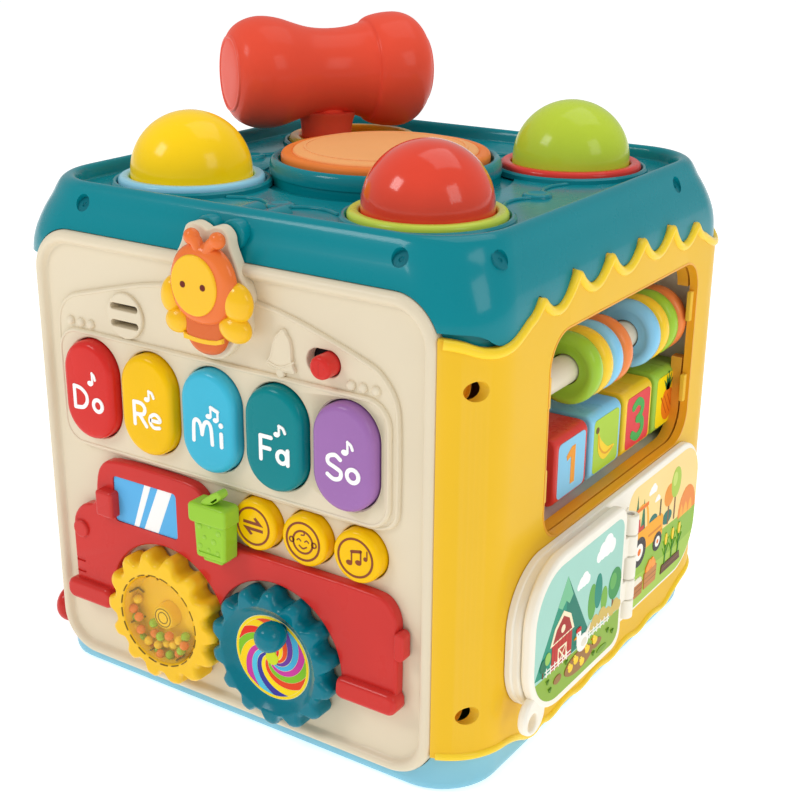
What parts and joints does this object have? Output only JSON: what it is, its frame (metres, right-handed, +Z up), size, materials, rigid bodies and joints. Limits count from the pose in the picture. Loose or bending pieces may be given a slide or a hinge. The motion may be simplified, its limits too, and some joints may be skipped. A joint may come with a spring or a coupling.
{
  "type": "baby activity cube",
  "caption": "Square play cube with piano keys, a truck with turning wheels, sliding beads, spinning picture blocks, a book page, drum and press domes, and a toy hammer in its cup.",
  "frame": {"origin": "centre of the flat underside", "axes": "+X to the right along the front panel, +Y to the back (the front panel with the keys faces -Y), +Z up"},
  "size_m": [0.2095, 0.2165, 0.2383],
  "materials": {
    "teal": "smooth satin gloss moulding",
    "cream": "satin",
    "cream_light": "satin",
    "yellow": "satin",
    "bright_yellow": "gloss",
    "red": "satin gloss",
    "scarlet": "gloss",
    "light_blue": "satin",
    "sky": "gloss",
    "purple": "gloss",
    "orange": "gloss",
    "peach": "soft matt",
    "green": "gloss",
    "lime": "gloss",
    "clear": "clear, polished",
    "board": "printed circuit board",
    "steel": "plain",
    "cell": "sleeved cell",
    "dark": "matt"
  },
  "bodies": {
    "shell": {"base_tray": "light_blue", "battery_door": "light_blue", "battery_door_screw": "steel", "battery_cell_1": "cell", "battery_cell_2": "cell", "right_wall": "yellow", "left_wall": "scarlet", "back_wall": "cream", "front_panel": "cream", "truck_body": "red", "bee_wings": "bright_yellow", "bee_body": "orange", "rattle_axle": "steel", "crank_axle": "steel", "top_cap": "teal", "ring_blue": "light_blue", "ring_lime": "lime", "ring_red": "red", "hammer_socket": "bright_yellow", "abacus_tray": "cream_light", "abacus_rod": "cream_light", "block_axle": "cream_light", "book_plate": "cream_light", "book_hinge_pin": "steel", "main_board": "board", "speaker": "dark"},
    "key_do": {"key_do": "scarlet"},
    "key_re": {"key_re": "bright_yellow"},
    "key_mi": {"key_mi": "sky"},
    "key_fa": {"key_fa": "teal"},
    "key_so": {"key_so": "purple"},
    "button_swap": {"button_swap": "bright_yellow"},
    "button_face": {"button_face": "bright_yellow"},
    "button_music": {"button_music": "bright_yellow"},
    "volume_switch": {"volume_switch": "red"},
    "waste_bin": {"waste_bin": "green"},
    "rattle_wheel": {"rattle_wheel": "yellow", "rattle_lens": "clear", "rattle_beads": "orange"},
    "crank_wheel": {"crank_wheel": "teal"},
    "crank_knob": {"crank_knob": "teal"},
    "dome_yellow": {"dome_yellow": "bright_yellow"},
    "dome_red": {"dome_red": "scarlet"},
    "dome_green": {"dome_green": "lime"},
    "drum_pad": {"drum_pad": "peach"},
    "hammer": {"hammer_head": "scarlet", "hammer_handle": "scarlet"},
    "abacus_bead_1": {"abacus_bead_1": "green"},
    "abacus_bead_2": {"abacus_bead_2": "bright_yellow"},
    "abacus_bead_3": {"abacus_bead_3": "sky"},
    "abacus_bead_4": {"abacus_bead_4": "orange"},
    "abacus_bead_5": {"abacus_bead_5": "sky"},
    "abacus_bead_6": {"abacus_bead_6": "bright_yellow"},
    "abacus_bead_7": {"abacus_bead_7": "green"},
    "abacus_bead_8": {"abacus_bead_8": "orange"},
    "picture_block_1": {"picture_block_1": "scarlet"},
    "picture_block_2": {"picture_block_2": "sky"},
    "picture_block_3": {"picture_block_3": "bright_yellow"},
    "picture_block_4": {"picture_block_4": "green"},
    "book_page": {"book_page": "cream_light"}
  },
  "joints": [
    {"name": "key_do_press", "type": "slide", "parent": "shell", "child": "key_do", "axis": [0, 1, 0], "range_m": [0, 0.003], "stiffness_N_per_m": 300, "springref_m": -0.002},
    {"name": "key_re_press", "type": "slide", "parent": "shell", "child": "key_re", "axis": [0, 1, 0], "range_m": [0, 0.003], "stiffness_N_per_m": 300, "springref_m": -0.002},
    {"name": "key_mi_press", "type": "slide", "parent": "shell", "child": "key_mi", "axis": [0, 1, 0], "range_m": [0, 0.003], "stiffness_N_per_m": 300, "springref_m": -0.002},
    {"name": "key_fa_press", "type": "slide", "parent": "shell", "child": "key_fa", "axis": [0, 1, 0], "range_m": [0, 0.003], "stiffness_N_per_m": 300, "springref_m": -0.002},
    {"name": "key_so_press", "type": "slide", "parent": "shell", "child": "key_so", "axis": [0, 1, 0], "range_m": [0, 0.003], "stiffness_N_per_m": 300, "springref_m": -0.002},
    {"name": "button_swap_press", "type": "slide", "parent": "shell", "child": "button_swap", "axis": [0, 1, 0], "range_m": [0, 0.0025], "stiffness_N_per_m": 300, "springref_m": -0.002},
    {"name": "button_face_press", "type": "slide", "parent": "shell", "child": "button_face", "axis": [0, 1, 0], "range_m": [0, 0.0025], "stiffness_N_per_m": 300, "springref_m": -0.002},
    {"name": "button_music_press", "type": "slide", "parent": "shell", "child": "button_music", "axis": [0, 1, 0], "range_m": [0, 0.0025], "stiffness_N_per_m": 300, "springref_m": -0.002},
    {"name": "volume_switch_slide", "type": "slide", "parent": "shell", "child": "volume_switch", "axis": [-1, 0, 0], "range_m": [0, 0.0046]},
    {"name": "waste_bin_lift", "type": "slide", "parent": "shell", "child": "waste_bin", "axis": [0, 0, 1], "range_m": [0, 0.007]},
    {"name": "crank_wheel_spin", "type": "hinge", "parent": "shell", "child": "crank_wheel", "pos_m": [0.0237, -0.1, 0.0371], "axis": [0, 1, 0], "continuous": true},
    {"name": "rattle_wheel_spin", "type": "hinge", "parent": "shell", "child": "rattle_wheel", "pos_m": [-0.0265, -0.1, 0.0371], "axis": [0, 1, 0], "continuous": true},
    {"name": "crank_knob_spin", "type": "hinge", "parent": "crank_wheel", "child": "crank_knob", "pos_m": [0.0287, -0.11, 0.0501], "axis": [0, 1, 0], "continuous": true},
    {"name": "dome_yellow_press", "type": "slide", "parent": "shell", "child": "dome_yellow", "axis": [0, 0, -1], "range_m": [0, 0.004], "stiffness_N_per_m": 500, "springref_m": -0.002},
    {"name": "dome_red_press", "type": "slide", "parent": "shell", "child": "dome_red", "axis": [0, 0, -1], "range_m": [0, 0.004], "stiffness_N_per_m": 500, "springref_m": -0.002},
    {"name": "dome_green_press", "type": "slide", "parent": "shell", "child": "dome_green", "axis": [0, 0, -1], "range_m": [0, 0.004], "stiffness_N_per_m": 500, "springref_m": -0.002},
    {"name": "drum_pad_press", "type": "slide", "parent": "shell", "child": "drum_pad", "axis": [0, 0, -1], "range_m": [0, 0.002], "stiffness_N_per_m": 1200, "springref_m": -0.002},
    {"name": "hammer_lift_out", "type": "slide", "parent": "shell", "child": "hammer", "axis": [0.01, 0.0143, 0.9998], "range_m": [0, 0.1]},
    {"name": "abacus_bead_1_slide", "type": "slide", "parent": "shell", "child": "abacus_bead_1", "axis": [0, 1, 0], "range_m": [-0.045, 0.008]},
    {"name": "abacus_bead_2_slide", "type": "slide", "parent": "shell", "child": "abacus_bead_2", "axis": [0, 1, 0], "range_m": [-0.045, 0.008]},
    {"name": "abacus_bead_3_slide", "type": "slide", "parent": "shell", "child": "abacus_bead_3", "axis": [0, 1, 0], "range_m": [-0.045, 0.008]},
    {"name": "abacus_bead_4_slide", "type": "slide", "parent": "shell", "child": "abacus_bead_4", "axis": [0, 1, 0], "range_m": [-0.045, 0.008]},
    {"name": "abacus_bead_5_slide", "type": "slide", "parent": "shell", "child": "abacus_bead_5", "axis": [0, 1, 0], "range_m": [-0.008, 0.005]},
    {"name": "abacus_bead_6_slide", "type": "slide", "parent": "shell", "child": "abacus_bead_6", "axis": [0, 1, 0], "range_m": [-0.008, 0.005]},
    {"name": "abacus_bead_7_slide", "type": "slide", "parent": "shell", "child": "abacus_bead_7", "axis": [0, 1, 0], "range_m": [-0.008, 0.005]},
    {"name": "abacus_bead_8_slide", "type": "slide", "parent": "shell", "child": "abacus_bead_8", "axis": [0, 1, 0], "range_m": [-0.008, 0.005]},
    {"name": "picture_block_1_spin", "type": "hinge", "parent": "shell", "child": "picture_block_1", "pos_m": [0.08025, -0.0209, 0.09725], "axis": [0, 1, 0], "continuous": true},
    {"name": "picture_block_2_spin", "type": "hinge", "parent": "shell", "child": "picture_block_2", "pos_m": [0.08025, 0.0067, 0.09725], "axis": [0, 1, 0], "continuous": true},
    {"name": "picture_block_3_spin", "type": "hinge", "parent": "shell", "child": "picture_block_3", "pos_m": [0.08025, 0.0343, 0.09725], "axis": [0, 1, 0], "continuous": true},
    {"name": "picture_block_4_spin", "type": "hinge", "parent": "shell", "child": "picture_block_4", "pos_m": [0.08025, 0.0619, 0.09725], "axis": [0, 1, 0], "continuous": true},
    {"name": "book_page_hinge", "type": "hinge", "parent": "shell", "child": "book_page", "pos_m": [0.1072, 0.0015, 0.052], "axis": [0, 0, 1], "range_deg": [0, 180]}
  ],
  "couplings": [
    {"joint": "rattle_wheel_spin", "follows": "crank_wheel_spin", "ratio": -1},
    {"joint": "abacus_bead_2_slide", "follows": "abacus_bead_1_slide", "ratio": 1},
    {"joint": "abacus_bead_3_slide", "follows": "abacus_bead_1_slide", "ratio": 1},
    {"joint": "abacus_bead_4_slide", "follows": "abacus_bead_1_slide", "ratio": 1},
    {"joint": "abacus_bead_6_slide", "follows": "abacus_bead_5_slide", "ratio": 1},
    {"joint": "abacus_bead_7_slide", "follows": "abacus_bead_5_slide", "ratio": 1},
    {"joint": "abacus_bead_8_slide", "follows": "abacus_bead_5_slide", "ratio": 1}
  ]
}
